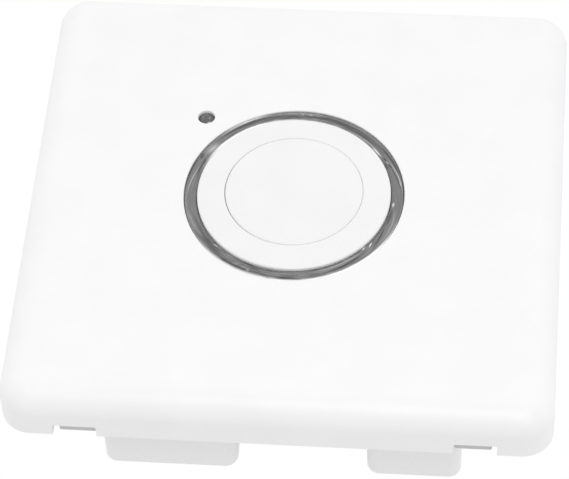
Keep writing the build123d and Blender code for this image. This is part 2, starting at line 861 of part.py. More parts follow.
def make_terminal_screws():
    """Slotted clamp screws, reached through the housing's back wall."""
    head_top_y = terminal_top_y - terminal_screw_sink
    head_low_y = head_top_y - terminal_screw_head
    tip_y = wire_y + wire_hole / 2
    screw = rod((0, clamp_z), terminal_screw_radius, tip_y, head_low_y)
    head = rod((0, clamp_z), terminal_screw_head_radius, head_low_y, head_top_y)
    screw += chamfer(head.edges().group_by(Axis.Y)[-1], edge_break)
    slot_size = (2 * terminal_screw_head_radius, terminal_slot_width)
    screw -= brick((0, clamp_z), slot_size, head_top_y - terminal_slot_depth, head_top_y)
    return [Pos(x, 0, 0) * screw for x in pole_places]


pieces = {
    "front_cover": make_front_cover,
    "light_ring": make_light_ring,
    "button_bezel": make_button_bezel,
    "touch_pad": make_touch_pad,
    "indicator_lens": make_indicator_lens,
    "control_board": make_control_board,
    "board_screws": make_board_screws,
    "ring_leds": make_ring_leds,
    "indicator_led": make_indicator_led,
    "switch_body": make_switch_body,
    "switch_plunger": make_switch_plunger,
    "microcontroller": make_microcontroller,
    "link_header": make_link_header,
    "mounting_frame": make_mounting_frame,
    "rear_housing": make_rear_housing,
    "housing_screws": make_housing_screws,
    "power_board": make_power_board,
    "relay": make_relay,
    "film_capacitor": make_film_capacitor,
    "electrolytic_capacitor": make_electrolytic_capacitor,
    "fuse": make_fuse,
    "varistor": make_varistor,
    "bridge_rectifier": make_bridge_rectifier,
    "surge_resistor": make_surge_resistor,
    "driver_transistor": make_driver_transistor,
    "selector_body": make_selector_body,
    "time_selector": make_time_selector,
    "terminal_block": make_terminal_block,
    "terminal_clamps": make_terminal_clamps,
    "terminal_screws": make_terminal_screws,
}

os.makedirs("parts", exist_ok=True)
for name, make in pieces.items():
    shape = make()
    if isinstance(shape, list):
        shape = Compound(children=shape)
    export_step(shape, f"parts/{name}.step")
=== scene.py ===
import json
from math import cos, hypot, pi, radians, sin

import bmesh
import bpy
from mathutils import Matrix, Vector


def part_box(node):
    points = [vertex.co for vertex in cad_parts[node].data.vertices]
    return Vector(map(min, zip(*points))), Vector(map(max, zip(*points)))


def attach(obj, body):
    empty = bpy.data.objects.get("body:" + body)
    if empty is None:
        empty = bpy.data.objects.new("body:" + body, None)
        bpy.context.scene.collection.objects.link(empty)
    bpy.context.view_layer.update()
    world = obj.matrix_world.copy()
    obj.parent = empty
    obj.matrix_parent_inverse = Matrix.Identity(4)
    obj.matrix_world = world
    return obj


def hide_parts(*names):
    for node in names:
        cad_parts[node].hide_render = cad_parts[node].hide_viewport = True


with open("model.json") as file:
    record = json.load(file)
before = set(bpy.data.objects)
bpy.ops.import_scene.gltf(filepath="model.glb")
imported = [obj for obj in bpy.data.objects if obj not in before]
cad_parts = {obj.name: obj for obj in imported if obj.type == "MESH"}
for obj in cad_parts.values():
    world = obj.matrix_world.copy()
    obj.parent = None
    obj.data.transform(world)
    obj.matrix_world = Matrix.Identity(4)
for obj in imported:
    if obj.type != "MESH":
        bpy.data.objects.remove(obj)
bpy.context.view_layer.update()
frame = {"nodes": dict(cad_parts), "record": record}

MM = 0.001

# Points this near are merged where an outline closes, and where pieces are joined
SAME_POINT = 1e-7
SEAM = 0.002 * MM

# The camera stands below the plate and looks up at it, with a slight roll.
CAMERA_AZIMUTH = 5.492
CAMERA_ELEVATION = -38.603
CAMERA_ROLL = 5.897
CAMERA_DISTANCE = 503.115 * MM
CAMERA_AIM = Vector((-1.234, -4.5, -5.518)) * MM
CAMERA_LENS = 197.8
SENSOR_WIDTH = 36.0
CLIP_NEAR = 0.01
CLIP_FAR = 50.0

# The floor lies well below, so that the camera stays above it. Metres.
FLOOR_DROP = 0.9
FLOOR_SIZE = 12.0

# White surround, and a key light with its place and size in metres
STUDIO_STRENGTH = 1.0
KEY_PLACE = (0.15, -0.86, -0.66)
KEY_SIZE = 0.5
KEY_POWER = 2.1

# All sizes from here on are in millimetres.
# A test for a corner's place allows this much, a cutter reaches this far past what it cuts,
# and what stands on a wall is joined to it by this depth.
PLACE_PLAY = 0.01
CUT_PAST = 1.0
JOINED = 0.5

# Cover plate
COVER_WALL = 2.0
FRONT_WALL = 2.2
COVER_CORNER = 5.0
FRONT_ROUNDING = 4.6
CORNER_STEPS = 16
FRONT_STEPS = 14
INSIDE_STEPS = 6
RING_HOLE = 17.75
INDICATOR_PLACE = (-15.63, 15.6)
INDICATOR_HOLE = 1.38
HOLE_ROUNDING = 0.2
HOLE_STEPS = 3
NOTCH_OFFSET = 31.0
NOTCH_WIDTH = 6.8
NOTCH_HEIGHT = 2.3
NOTCH_ROUNDING = 0.3
NOTCH_STEPS = 4
HOOK_OFFSET = 20.0
HOOK_WIDTH = 8.0
HOOK_REACH = 0.9
HOOK_FRONT = -2.9
HOOK_LAND = 0.7
HOOK_RAMP = 0.8
POST_PLACE = (18.5, 21.0)
POST_RADIUS = 2.2
POST_BORE = 0.9
POST_BACK = -3.8

# Touch button: one dome over pad and bezel
DOME_RADIUS = 110.0
DOME_RISE = 1.36
BUTTON_ROUNDING = 0.25

# Centre pad, a hair to the right of its bore's middle
PAD_RADIUS = 11.09
PAD_PLAY = 0.035
PAD_SKIN = 1.9
PAD_WALL = 1.25
PAD_LIP_DROP = 2.1
PAD_LIP = 0.9
PAD_STEM = 1.7
PAD_POINTS = 12

# Bezel, with a skirt down to the board and pegs in it
BEZEL_RADIUS = 15.6
BEZEL_BORE = 11.13
BEZEL_SKIN = 2.0
BEZEL_WALL = 1.3
BEZEL_FOOT = -3.8
BEZEL_POINTS = 7
PEG_COUNT = 3
PEG_RADIUS = 0.5
PEG_INSET = 0.65
PEG_JOINED = 0.3

# Clear ring, with a flange behind the cover and feet on the board
RING_INNER = 15.7
RING_OUTER = 17.65
RING_RECESS = 0.1
RING_CROWN = 0.2
RING_FLANGE = 1.0
RING_POINTS = 13
FOOT_COUNT = 4
FOOT_RADIUS = 0.7
FOOT_INSET = 0.9

# Indicator lens, a little below the plate's face
LENS_RADIUS = 1.3
LENS_FLANGE_RADIUS = 2.2
LENS_FLANGE = 0.8
LENS_RECESS = 0.25
LENS_CROWN = 0.35
LENS_END = -4.95
LENS_POINTS = 9

# Distance between the boards' copper tracks, middle to middle
TRACK_PITCH = 1.6

# Faces of a new piece that meet at less than this many degrees are shaded as one
SMOOTH_ANGLE = 40

# Nearly all of a noise's values lie between these
NOISE_LOW = 0.35
NOISE_HIGH = 0.65
# Distance between a wave texture's bands at a scale of one
WAVE_PITCH = 2 * pi / 20


def linear(hex_colour):
    """An sRGB hex colour as linear red, green, blue and alpha."""
    parts = [int(hex_colour[n : n + 2], 16) / 255 for n in (1, 3, 5)]
    return [p / 12.92 if p <= 0.04045 else ((p + 0.055) / 1.055) ** 2.4 for p in parts] + [1.0]


def new_material(name):
    """An empty material and its node tree."""
    material = bpy.data.materials.new(name)
    material.use_nodes = True
    tree = material.node_tree
    tree.nodes.clear()
    return material, tree


def add(tree, kind, inputs=None, **settings):
    """Adds a node with its settings. An input is a number or colour, a socket, or a node's first output."""
    node = tree.nodes.new(kind)
    for name, value in settings.items():
        setattr(node, name, value)
    for name, value in (inputs or {}).items():
        if isinstance(value, bpy.types.Node):
            value = value.outputs[0]
        if isinstance(value, bpy.types.NodeSocket):
            tree.links.new(value, node.inputs[name])
        else:
            node.inputs[name].default_value = value
    return node


def span(pattern, low, high, start=NOISE_LOW, stop=NOISE_HIGH):
    """Inputs for a map range that runs from low to high as a pattern does, by default a noise."""
    return {"Value": pattern, "From Min": start, "From Max": stop, "To Min": low, "To Max": high}


def grain(tree, size_mm, detail=2.0, stretch=(1, 1, 1)):
    """Noise whose grain has a real size, read from the piece's own coordinates."""
    place = add(tree, "ShaderNodeTexCoord").outputs["Object"]
    mapped = add(tree, "ShaderNodeMapping", {"Vector": place, "Scale": stretch})
    return add(tree, "ShaderNodeTexNoise", {"Vector": mapped, "Scale": 1 / (size_mm * MM), "Detail": detail})


def surface(tree, colour, **sockets):
    """Ends a material in its shader, with a colour and other sockets set or linked by name."""
    named = {name.replace("_", " "): value for name, value in sockets.items()}
    shader = add(tree, "ShaderNodeBsdfPrincipled", {"Base Color": colour, **named})
    add(tree, "ShaderNodeOutputMaterial", {"Surface": shader})


def uneven(tree, gloss, relief):
    """Roughness between two values and relief of a real depth in millimetres, each after a pattern."""
    pattern, depth_mm = relief
    height = {"Height": pattern, "Distance": depth_mm * MM, "Strength": 1.0}
    return {
        "Roughness": add(tree, "ShaderNodeMapRange", span(*gloss)),
        "Normal": add(tree, "ShaderNodeBump", height),
    }


def two_tone(tree, shade, gloss, relief, start=NOISE_LOW, stop=NOISE_HIGH, **sockets):
    """A surface that runs between two hex colours after a pattern, with uneven gloss and relief."""
    pattern, *colours = shade
    ramp = add(tree, "ShaderNodeValToRGB", {"Fac": pattern})
    for element, position, colour in zip(ramp.color_ramp.elements, (start, stop), colours):
        element.position = position
        element.color = linear(colour)
    surface(tree, ramp, **uneven(tree, gloss, relief), **sockets)


# How strongly polycarbonate bends light
POLYCARBONATE_IOR = 1.58


def white_polycarbonate(name, dark, light):
    """White polycarbonate, moulded in a polished tool: bright and glossy, faintly uneven, soft highlights."""
    material, tree = new_material(name)
    two_tone(
        tree,
        shade=(grain(tree, 9.0), dark, light),
        gloss=(grain(tree, 1.6), 0.34, 0.40),
        relief=(grain(tree, 0.5), 0.002),
        IOR=POLYCARBONATE_IOR,
    )
    return material


def fine_grained(name, dark, light, rough, grain_mm, depth_mm=0.004):
    """A finish with one fine grain: two close shades, slightly uneven gloss and a slight relief."""
    material, tree = new_material(name)
    pattern = grain(tree, grain_mm)
    two_tone(
        tree,
        shade=(pattern, dark, light),
        gloss=(pattern, rough - 0.04, rough + 0.04),
        relief=(pattern, depth_mm),
    )
    return material


def turned_metal(name, dark, light, pitch_mm, rough):
    """Turned or rolled metal: bright, with fine lines across the depth of the screw or sheet."""
    material, tree = new_material(name)
    lines = grain(tree, pitch_mm, 1.0, (0.15, 1.0, 0.15))
    two_tone(
        tree,
        shade=(grain(tree, 1.2), dark, light),
        gloss=(lines, rough - 0.06, rough + 0.06),
        relief=(lines, 0.002),
        Metallic=1.0,
    )
    return material


def green_solder_mask():
    """Screened solder mask on a board: glossy green, with paler copper tracks slightly raised under it.

    The tracks run both ways in patches, drawn a little coarse so that they show."""
    material, tree = new_material("green_solder_mask")
    place = add(tree, "ShaderNodeTexCoord").outputs["Object"]
    waves = {"Vector": place, "Scale": WAVE_PITCH / (TRACK_PITCH * MM), "Distortion": 0.0}
    across, upward = [
        add(tree, "ShaderNodeTexWave", waves, bands_direction=axis).outputs["Fac"] for axis in "XZ"
    ]
    way = add(tree, "ShaderNodeMapRange", span(grain(tree, 7.0, 0.0), 0.0, 1.0, 0.49, 0.51))
    chosen = add(tree, "ShaderNodeMix", {"Factor": way, "A": across, "B": upward})
    lines = add(tree, "ShaderNodeMapRange", span(chosen, 0.0, 1.0, 0.60, 0.72))
    patches = add(tree, "ShaderNodeMapRange", span(grain(tree, 4.5, 0.0), 0.0, 1.0, 0.46, 0.50))
    tracks = add(tree, "ShaderNodeMath", {0: lines, 1: patches}, operation="MULTIPLY")
    two_tone(
        tree,
        shade=(tracks, "#14502c", "#2c7a46"),
        gloss=(grain(tree, 2.0), 0.22, 0.30),
        relief=(tracks, 0.035),
        start=0.0,
        stop=1.0,
    )
    return material


def along(tree, axis):
    """A spot's place along one of the object's axes, in metres."""
    place = add(tree, "ShaderNodeTexCoord").outputs["Object"]
    return add(tree, "ShaderNodeSeparateXYZ", {"Vector": place}).outputs[axis]


def shrink_sleeve():
    """PVC shrink sleeve on a capacitor's can: dark and glossy, with a pale stripe on the minus side."""
    material, tree = new_material("printed_shrink_sleeve")
    low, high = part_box("electrolytic_capacitor")
    middle, radius = (low.x + high.x) / 2, (high.x - low.x) / 2
    edges = (middle + 0.80 * radius, middle + 0.82 * radius)
    stripe = add(tree, "ShaderNodeMapRange", span(along(tree, "X"), 0.0, 1.0, *edges))
    two_tone(
        tree,
        shade=(stripe, "#161a30", "#b4b8c4"),
        gloss=(grain(tree, 1.5), 0.24, 0.32),
        relief=(grain(tree, 0.8), 0.004),
        start=0.0,
        stop=1.0,
    )
    return material


# Colour bands on the resistor: each one's start as a share of its length, and the coating between them
COATING = "#8698a6"
BANDS = [(0.28, "#5a3418"), (0.40, "#181818"), (0.52, "#5a3418"), (0.68, "#a8842c")]
BAND_WIDTH = 0.05
COATING_END = 0.97


def flameproof_coating():
    """Cement coating on a power resistor: matt grey-blue, with four painted colour bands."""
    material, tree = new_material("banded_flameproof_coating")
    low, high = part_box("surge_resistor")
    axis = "X" if high.x - low.x > high.z - low.z else "Z"
    ends = [getattr(corner, axis.lower()) for corner in (low, high)]
    share = add(tree, "ShaderNodeMapRange", span(along(tree, axis), 0.0, 1.0, *ends))
    ramp = add(tree, "ShaderNodeValToRGB", {"Fac": share})
    ramp.color_ramp.interpolation = "CONSTANT"
    ramp.color_ramp.elements[1].position = COATING_END
    for element in ramp.color_ramp.elements:
        element.color = linear(COATING)
    for position, band in BANDS:
        for edge, colour in ((position, band), (position + BAND_WIDTH, COATING)):
            ramp.color_ramp.elements.new(edge).color = linear(colour)
    surface(tree, ramp, **uneven(tree, (grain(tree, 0.6), 0.50, 0.60), (grain(tree, 0.4), 0.01)))
    return material


def polar(tree, centre=(0, 0)):
    """A spot's radius in millimetres and its angle in degrees about an axis along Y."""
    place = add(tree, "ShaderNodeTexCoord").outputs["Object"]
    shift = {"Vector": place, "Location": (-centre[0], 0, -centre[1]), "Scale": (1 / MM, 0, 1 / MM)}
    flat = add(tree, "ShaderNodeMapping", shift)
    parts = add(tree, "ShaderNodeSeparateXYZ", {"Vector": flat}).outputs
    turn = add(tree, "ShaderNodeMath", {0: parts["Z"], 1: parts["X"]}, operation="ARCTAN2")
    angle = add(tree, "ShaderNodeMath", {0: turn}, operation="DEGREES")
    return add(tree, "ShaderNodeVectorMath", {0: flat}, operation="LENGTH").outputs["Value"], angle


def turn_from(tree, angle, middle):
    """The shorter way round from a middle angle, in degrees."""
    turn = add(tree, "ShaderNodeMath", {0: angle, 1: middle}, operation="SUBTRACT")
    return add(tree, "ShaderNodeMath", {0: turn, 1: 180.0, 2: -180.0}, operation="WRAP")


def fade(tree, distance, reach):
    """One at no distance, falling softly to nothing at a reach on either side."""
    size = add(tree, "ShaderNodeMath", {0: distance}, operation="ABSOLUTE")
    fall = span(size, 1.0, 0.0, 0.0, reach)
    return add(tree, "ShaderNodeMapRange", fall, interpolation_type="SMOOTHERSTEP")


def painted_streak(tree, tone, radius, angle, middle, reach, radii, width, strength):
    """A tone with a soft streak of painted light (painted shade where the strength is negative) round part of
    a ring, which may drift from one radius to another.
    """
    turn = turn_from(tree, angle, middle)
    drift = {0: turn, 1: (radii[1] - radii[0]) / (2 * reach), 2: (radii[0] + radii[1]) / 2}
    line = add(tree, "ShaderNodeMath", drift, operation="MULTIPLY_ADD")
    off_line = add(tree, "ShaderNodeMath", {0: radius, 1: line}, operation="SUBTRACT")
    shares = {0: fade(tree, turn, reach), 1: fade(tree, off_line, width)}
    share = add(tree, "ShaderNodeMath", shares, operation="MULTIPLY")
    return add(tree, "ShaderNodeMath", {0: share, 1: strength, 2: tone}, operation="MULTIPLY_ADD")


def turned_grain(tree, radius, across_mm, along_mm):
    """Noise about zero, with one grain size across the ring and a longer one along it."""
    place = add(tree, "ShaderNodeTexCoord").outputs["Object"]
    scale = 1 / (along_mm * MM)
    around = add(tree, "ShaderNodeMapping", {"Vector": place, "Scale": (scale, 0, scale)})
    rings = add(tree, "ShaderNodeMath", {0: radius, 1: across_mm}, operation="DIVIDE")
    across = add(tree, "ShaderNodeCombineXYZ", {"Y": rings})
    spot = add(tree, "ShaderNodeVectorMath", {0: around, 1: across}, operation="ADD")
    noise = add(tree, "ShaderNodeTexNoise", {"Vector": spot, "Scale": 1.0, "Detail": 3.0})
    return add(tree, "ShaderNodeMath", {0: noise, 1: 0.5}, operation="SUBTRACT")


# Tones are drawn as the eye sees them, and raised to this power for the shader
EYE_TO_LIGHT = 2.2
# Clear mouldings: a hard, polished skin over the tones
CLEAR_SKIN = {"IOR": POLYCARBONATE_IOR, "Coat_Weight": 0.5, "Coat_Roughness": 0.03}

# Painted highlights, reflections and shade, as streaks in the clear ring, in degrees and millimetres:
# middle angle, reach, start and end radius, width, strength
RING_PAINTED_LIGHT = [
    # Painted light from the face along the outer edge, and from the bezel along the inner one
    (285, 80, (17.75, 17.75), 0.62, 0.72),
    (318, 38, (17.75, 17.75), 0.5, 0.34),
    (229, 32, (17.75, 17.75), 0.45, 0.42),
    (200, 26, (17.7, 17.7), 0.3, 0.10),
    (120, 24, (17.55, 17.5), 0.5, 0.40),
    (118, 52, (15.75, 15.75), 0.55, 0.75),
    (145, 26, (15.75, 15.75), 0.45, 0.34),
    (64, 30, (15.75, 15.75), 0.4, 0.22),
    # Painted glints at the top
    (88, 14, (17.0, 17.2), 0.45, 0.10),
    (85, 1.6, (17.0, 17.0), 0.35, 0.18),
    (89.5, 1.3, (17.0, 17.0), 0.35, 0.16),
    # Painted shade: the dark spaces between the lamps, seen through the ring
    (66, 40, (16.6, 16.7), 0.8, -0.18),
    (120, 26, (16.9, 16.8), 0.5, -0.24),
    (222, 17, (16.6, 16.7), 0.75, -0.14),
    (163, 10, (16.4, 16.2), 0.3, -0.16),
    (345, 9, (16.2, 16.1), 0.35, -0.20),
    (96, 18, (16.4, 16.4), 0.4, -0.10),
    (72, 18, (17.6, 17.6), 0.25, -0.10),
    (271, 8, (17.15, 17.15), 0.3, -0.22),
    (240, 16, (17.15, 17.15), 0.25, -0.20),
    (262, 34, (16.85, 17.1), 0.25, -0.16),
    # Painted reflections: crossing arcs at the upper right, with a knot where they part
    (27, 17, (17.45, 17.0), 0.28, -0.30),
    (19, 14, (17.6, 16.5), 0.11, 0.34),
    (11, 12, (17.65, 16.9), 0.09, 0.26),
    (15, 12, (17.3, 16.3), 0.14, -0.26),
    (8, 14, (17.62, 17.5), 0.1, -0.24),
    (46, 18, (16.25, 16.0), 0.24, 0.22),
    (37, 7, (16.05, 15.95), 0.24, 0.46),
    (27, 2.5, (16.5, 16.2), 0.15, 0.26),
    (24, 2.5, (16.6, 16.3), 0.16, -0.26),
    (29.5, 2.5, (16.4, 16.2), 0.18, -0.28),
    (10.5, 3, (17.3, 17.15), 0.14, 0.24),
    (25, 4, (16.0, 16.0), 0.25, -0.18),
    # Painted reflections: crossing arcs at the upper left
    (148, 8, (16.8, 16.8), 1.0, 0.16),
    (146, 8, (16.2, 16.5), 0.5, 0.14),
    (155, 3, (17.3, 17.0), 0.4, -0.22),
    (158, 3, (16.3, 16.1), 0.2, -0.20),
    (165, 14, (17.5, 17.6), 0.32, -0.26),
    (172, 18, (16.2, 17.5), 0.13, 0.34),
    (189, 16, (17.35, 17.45), 0.11, 0.20),
    (172, 14, (16.1, 16.7), 0.1, 0.12),
    (203, 14, (17.3, 17.0), 0.4, 0.12),
    (206, 12, (16.5, 16.4), 0.3, -0.12),
    # Painted glints and arcs of painted shade at the lower right
    (330, 11, (17.0, 16.0), 0.2, -0.28),
    (322, 14, (17.3, 16.3), 0.1, 0.16),
    (318.5, 2.5, (15.95, 15.8), 0.2, 0.55),
    (323, 3, (16.5, 15.9), 0.18, 0.62),
    (338, 18, (17.2, 16.9), 0.3, 0.14),
    (347, 7, (16.95, 16.5), 0.16, 0.14),
    (355.2, 2.6, (16.15, 16.1), 0.28, 0.50),
    # Painted reflections, glints and shade in arcs and flecks along the bottom
    (305, 18, (17.1, 16.4), 0.26, -0.26),
    (300, 24, (16.35, 16.15), 0.24, 0.24),
    (276, 20, (15.95, 16.1), 0.12, 0.16),
    (247, 5, (17.0, 16.5), 0.5, 0.12),
    (279, 7, (16.9, 16.7), 0.5, 0.12),
    (224, 2.5, (16.3, 16.0), 0.14, 0.50),
    (249, 1.5, (17.1, 17.0), 0.35, 0.24),
    (241, 3, (17.0, 16.8), 0.35, 0.16),
    (247, 6, (15.85, 15.85), 0.2, -0.14),
    (272, 5, (15.75, 15.75), 0.25, -0.22),
]
# The grain is strong along the ring's top and bottom, and faint at its sides: middle angle and reach
BUSY_ARCS = [(98, 80), (262, 85)]
GRAIN_AT_SIDES = 0.25
# Grey tone of the ring, painted as the shade of the dark space behind it
RING_SHADE_TONE = 0.43
RING_DARKEST = 0.2
# Two grains: size across and along the ring in millimetres, and strength
RING_GRAINS = [(0.28, 8, 0.5), (0.16, 1.6, 0.45)]


def clear_ring_polycarbonate_with_painted_light():
    """Clear polycarbonate light guide over a dark space: smoke grey painted as the shade of that space, with
    fine grain and streaks of painted light and shade.
    """
    material, tree = new_material("clear_ring_polycarbonate_with_painted_light")
    radius, angle = polar(tree)
    strength = GRAIN_AT_SIDES
    for middle, reach in BUSY_ARCS:
        arc = fade(tree, turn_from(tree, angle, middle), reach)
        strength = add(tree, "ShaderNodeMath", {0: strength, 1: arc}, operation="ADD")
    grains = 0.0
    for across_mm, along_mm, share in RING_GRAINS:
        one = {0: turned_grain(tree, radius, across_mm, along_mm), 1: share, 2: grains}
        grains = add(tree, "ShaderNodeMath", one, operation="MULTIPLY_ADD")
    tone = add(tree, "ShaderNodeMath", {0: grains, 1: strength, 2: RING_SHADE_TONE}, operation="MULTIPLY_ADD")
    for painted_mark in RING_PAINTED_LIGHT:
        tone = painted_streak(tree, tone, radius, angle, *painted_mark)
    tone = add(tree, "ShaderNodeMath", {0: tone, 1: RING_DARKEST}, operation="MAXIMUM")
    tone = add(tree, "ShaderNodeMath", {0: tone, 1: EYE_TO_LIGHT}, operation="POWER")
    surface(tree, tone, Roughness=0.12, **CLEAR_SKIN)
    return material


# Painted highlights and shade in the indicator's light pipe, as for the ring
LENS_PAINTED_LIGHT = [
    (-62, 30, (1.0, 1.0), 0.26, 0.42),
    (-50, 70, (1.2, 1.2), 0.3, 0.16),
    (0, 60, (0.5, 0.5), 0.35, 0.14),
    (165, 40, (0.7, 0.7), 0.25, 0.12),
    (200, 40, (1.1, 1.1), 0.25, -0.10),
]


def smoke_polycarbonate_with_painted_light():
    """Smoke polycarbonate light pipe: near black glass, with a painted highlight low on its right and painted
    light and shade about it.
    """
    material, tree = new_material("smoke_polycarbonate_with_painted_light")
    radius, angle = polar(tree, INDICATOR_PLACE)
    tone = add(tree, "ShaderNodeMapRange", span(grain(tree, 0.35), 0.27, 0.37))
    for painted_mark in LENS_PAINTED_LIGHT:
        tone = painted_streak(tree, tone, radius, angle, *painted_mark)
    tone = add(tree, "ShaderNodeMath", {0: tone, 1: EYE_TO_LIGHT}, operation="POWER")
    surface(tree, tone, Roughness=0.1, **CLEAR_SKIN)
    return material


finishes = {
    # Polished mould: the cover, bright and glossy
    "white_moulding": white_polycarbonate("moulded_white_polycarbonate", "#f5f5f5", "#f7f7f7"),
    "clear_ring": clear_ring_polycarbonate_with_painted_light(),
    "smoked_lens": smoke_polycarbonate_with_painted_light(),
    # Spark-eroded mould: dull, with an even grain that is drawn a little coarse so that it shows
    # The frame's grey is partly its own and partly painted shade: darkened so that its edge in the pry
    # notches reads as shaded
    "frame_moulding": fine_grained(
        "spark_textured_grey_polycarbonate_with_painted_shade", "#c4c4c4", "#c8c8c8", 0.5, 0.4, 0.002
    ),
    "housing_moulding": fine_grained(
        "spark_textured_white_polycarbonate", "#f0f0f0", "#f2f2f2", 0.5, 0.4, 0.002
    ),
    "circuit_board": green_solder_mask(),
    # Zinc plating: cool, bright and slightly cloudy, with the tool's fine lines
    "plated_steel": turned_metal("zinc_plated_steel", "#b0b2b4", "#c8cacc", 0.12, 0.30),
    # Silicone-filled lamp body: waxy and warm white
    "lamp_body": fine_grained("moulded_silicone_epoxy", "#f0ead0", "#f6f0da", 0.4, 0.3),
    # Moulded epoxy: black and satin, with a fine sandy grain
    "black_moulding": fine_grained("moulded_black_epoxy", "#161616", "#202020", 0.5, 0.25, 0.006),
    # Moulded PBT cases: deep blue on the relay and ochre yellow on the capacitor, both satin
    "relay_case": fine_grained("moulded_blue_pbt", "#0f2c66", "#143474", 0.35, 1.2),
    "film_case": fine_grained("moulded_yellow_pbt", "#c0a428", "#ccb030", 0.35, 1.2),
    "can_sleeve": shrink_sleeve(),
    # Dipped epoxy: blue, with a wavy, glossy skin
    "coated_disc": fine_grained("dipped_blue_epoxy", "#16407c", "#1c4a8c", 0.3, 2.2, 0.03),
    "resistor_body": flameproof_coating(),
    # Moulded polyester: a greyer blue, a little dull
    "selector_case": fine_grained("moulded_blue_polyester", "#1c3872", "#244282", 0.4, 0.8),
    # Natural nylon: waxy off-white with soft highlights
    "selector_shaft": fine_grained("moulded_natural_nylon", "#e2ded0", "#eae6da", 0.45, 0.8),
    # Dyed nylon: deep green and waxy, with soft highlights
    "terminal_moulding": fine_grained("moulded_green_nylon", "#1e5c38", "#266840", 0.45, 0.8),
    # Stamped brass: warm and bright, with rolling lines
    "brass_cage": turned_metal("stamped_brass", "#a88a48", "#c0a05a", 0.2, 0.34),
}
# Polycarbonate that spreads light, for pad and bezel: as glossy as the cover and a touch less white
button_white = white_polycarbonate("diffusing_white_polycarbonate", "#f1f1f1", "#f3f3f3")

for row in frame["record"]["subparts"]:
    mesh = frame["nodes"][row["node"]].data
    mesh.materials.clear()
    mesh.materials.append(finishes[row["material_slot"]])


def only(piece=None):
    """Leaves edit mode and selects one piece, or nothing."""
    if bpy.context.mode != "OBJECT":
        bpy.ops.object.mode_set(mode="OBJECT")
    bpy.ops.object.select_all(action="DESELECT")
    if piece:
        piece.select_set(True)
        bpy.context.view_layer.objects.active = piece


def primitive(name, add_primitive, **settings):
    """Adds a primitive by itself, with its place and size in its mesh."""
    only()
    add_primitive(**settings)
    piece = bpy.context.object
    piece.name = piece.data.name = name
    bpy.ops.object.transform_apply(location=True, rotation=True, scale=True)
    return piece


def cuboid(name, low, high):
    """A box primitive between two corners."""
    low, high = Vector(low) * MM, Vector(high) * MM
    piece = primitive(name, bpy.ops.mesh.primitive_cube_add, size=1)
    piece.scale = high - low
    piece.location = (high + low) / 2
    bpy.ops.object.transform_apply(location=True, rotation=True, scale=True)
    return piece


def cylinder(name, place, radius, y_front, y_back, sides):
    """A cylinder primitive along Y between two depths."""
    return primitive(
        name,
        bpy.ops.mesh.primitive_cylinder_add,
        vertices=sides,
        radius=radius * MM,
        depth=(y_back - y_front) * MM,
        location=Vector((place[0], (y_front + y_back) / 2, place[1])) * MM,
        rotation=(pi / 2, 0, 0),
    )


def edit(piece):
    """Opens one piece in edit mode, by its points, with nothing selected."""
    only(piece)
    bpy.ops.object.mode_set(mode="EDIT")
    bpy.ops.mesh.select_mode(type="VERT")
    bpy.ops.mesh.select_all(action="DESELECT")


def pick(piece, kind, test):
    """Selects the edit mesh's EDGE or FACE parts that pass a test, and no others."""
    bpy.ops.mesh.select_mode(type=kind)
    bpy.ops.mesh.select_all(action="DESELECT")
    mesh = bmesh.from_edit_mesh(piece.data)
    for part in {"EDGE": mesh.edges, "FACE": mesh.faces}[kind]:
        if test(part):
            part.select_set(True)
    bmesh.update_edit_mesh(piece.data)


def on_all(operator, **settings):
    """Selects the whole edit mesh and runs an operator on it."""
    bpy.ops.mesh.select_all(action="SELECT")
    operator(**settings)


def near(value, target):
    """True where a measure is a target's, within the play that a test allows."""
    return abs(value - target) < PLACE_PLAY


def bevel_edges(piece, radius, steps, test):
    """Bevels the edges that pass a test on their two ends."""
    pick(piece, "EDGE", lambda edge: test(*(vert.co / MM for vert in edge.verts)))
    bpy.ops.mesh.bevel(offset=radius * MM, segments=steps, affect="EDGES", clamp_overlap=False)


def round_level(piece, radius, steps, depth):
    """Rounds the edges that lie at a depth."""
    bevel_edges(piece, radius, steps, lambda one, other: near(one.y, depth) and near(other.y, depth))


def round_circle(piece, radius, depth, rounding, centre=(0, 0)):
    """Rounds a circular edge at a radius and a depth."""

    def on_edge(point):
        return near(hypot(point.x - centre[0], point.z - centre[1]), radius) and near(point.y, depth)

    bevel_edges(piece, rounding, HOLE_STEPS, lambda one, other: on_edge(one) and on_edge(other))


def boolean(piece, operation, *others):
    """Cuts or joins other pieces into one, and removes them."""
    only(piece)
    for other in others:
        modifier = piece.modifiers.new(operation.lower(), "BOOLEAN")
        modifier.operation = operation
        modifier.solver = "EXACT"
        modifier.object = other
        bpy.ops.object.modifier_apply(modifier=modifier.name)
        bpy.data.objects.remove(other)


def clean_seams(piece):
    """Merges the near doubles and slivers that joining leaves, and closes the pinholes."""
    edit(piece)
    on_all(bpy.ops.mesh.remove_doubles, threshold=SEAM)
    on_all(bpy.ops.mesh.dissolve_degenerate, threshold=SEAM)
    on_all(bpy.ops.mesh.fill_holes, sides=4)
    on_all(bpy.ops.mesh.normals_make_consistent, inside=False)
    bpy.ops.object.mode_set(mode="OBJECT")


def lathe(name, outline, closed=True, steps=192):
    """An outline of radius and depth, drawn point by point and spun about Y."""
    piece = primitive(name, bpy.ops.mesh.primitive_plane_add, size=MM)
    edit(piece)
    on_all(bpy.ops.mesh.merge, type="CENTER")
    spots = [Vector((radius, depth, 0)) * MM for radius, depth in outline]
    bpy.ops.transform.translate(value=spots[0])
    for here, there in zip(spots, spots[1:] + spots[: 1 if closed else 0]):
        bpy.ops.mesh.extrude_region_move(TRANSFORM_OT_translate={"value": there - here})
    on_all(bpy.ops.mesh.remove_doubles, threshold=SAME_POINT)
    on_all(bpy.ops.mesh.spin, steps=steps, angle=2 * pi, center=(0, 0, 0), axis=(0, 1, 0))
    on_all(bpy.ops.mesh.remove_doubles, threshold=SAME_POINT)
    bpy.ops.mesh.normals_make_consistent(inside=False)
    bpy.ops.object.mode_set(mode="OBJECT")
    return piece


